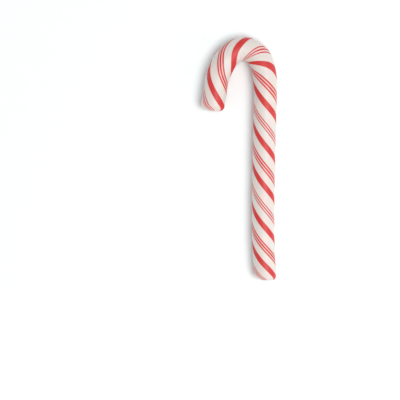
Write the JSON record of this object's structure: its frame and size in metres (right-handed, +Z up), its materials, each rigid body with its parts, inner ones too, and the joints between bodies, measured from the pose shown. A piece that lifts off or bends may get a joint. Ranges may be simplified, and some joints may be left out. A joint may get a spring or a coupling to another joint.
{
  "type": "candy cane",
  "caption": "Hand-pulled peppermint candy cane lying on its side: a thick round stick of hard white sugar with twisted red stripes, bent into a hook, with snipped ends.",
  "frame": {"origin": "middle of the cane's outline seen from above, on the surface it lies on", "axes": "+Y along the straight stem towards the hook, the hook turns over towards -X, +Z up through the rod's thickness"},
  "size_m": [0.0474, 0.1522, 0.0149],
  "materials": {
    "peppermint_sugar": "satin-glossy pulled hard sugar, creamy white with twisted broad red stripes and groups of thin red lines"
  },
  "bodies": {
    "root": {"candy_cane": "peppermint_sugar"}
  },
  "joints": []
}
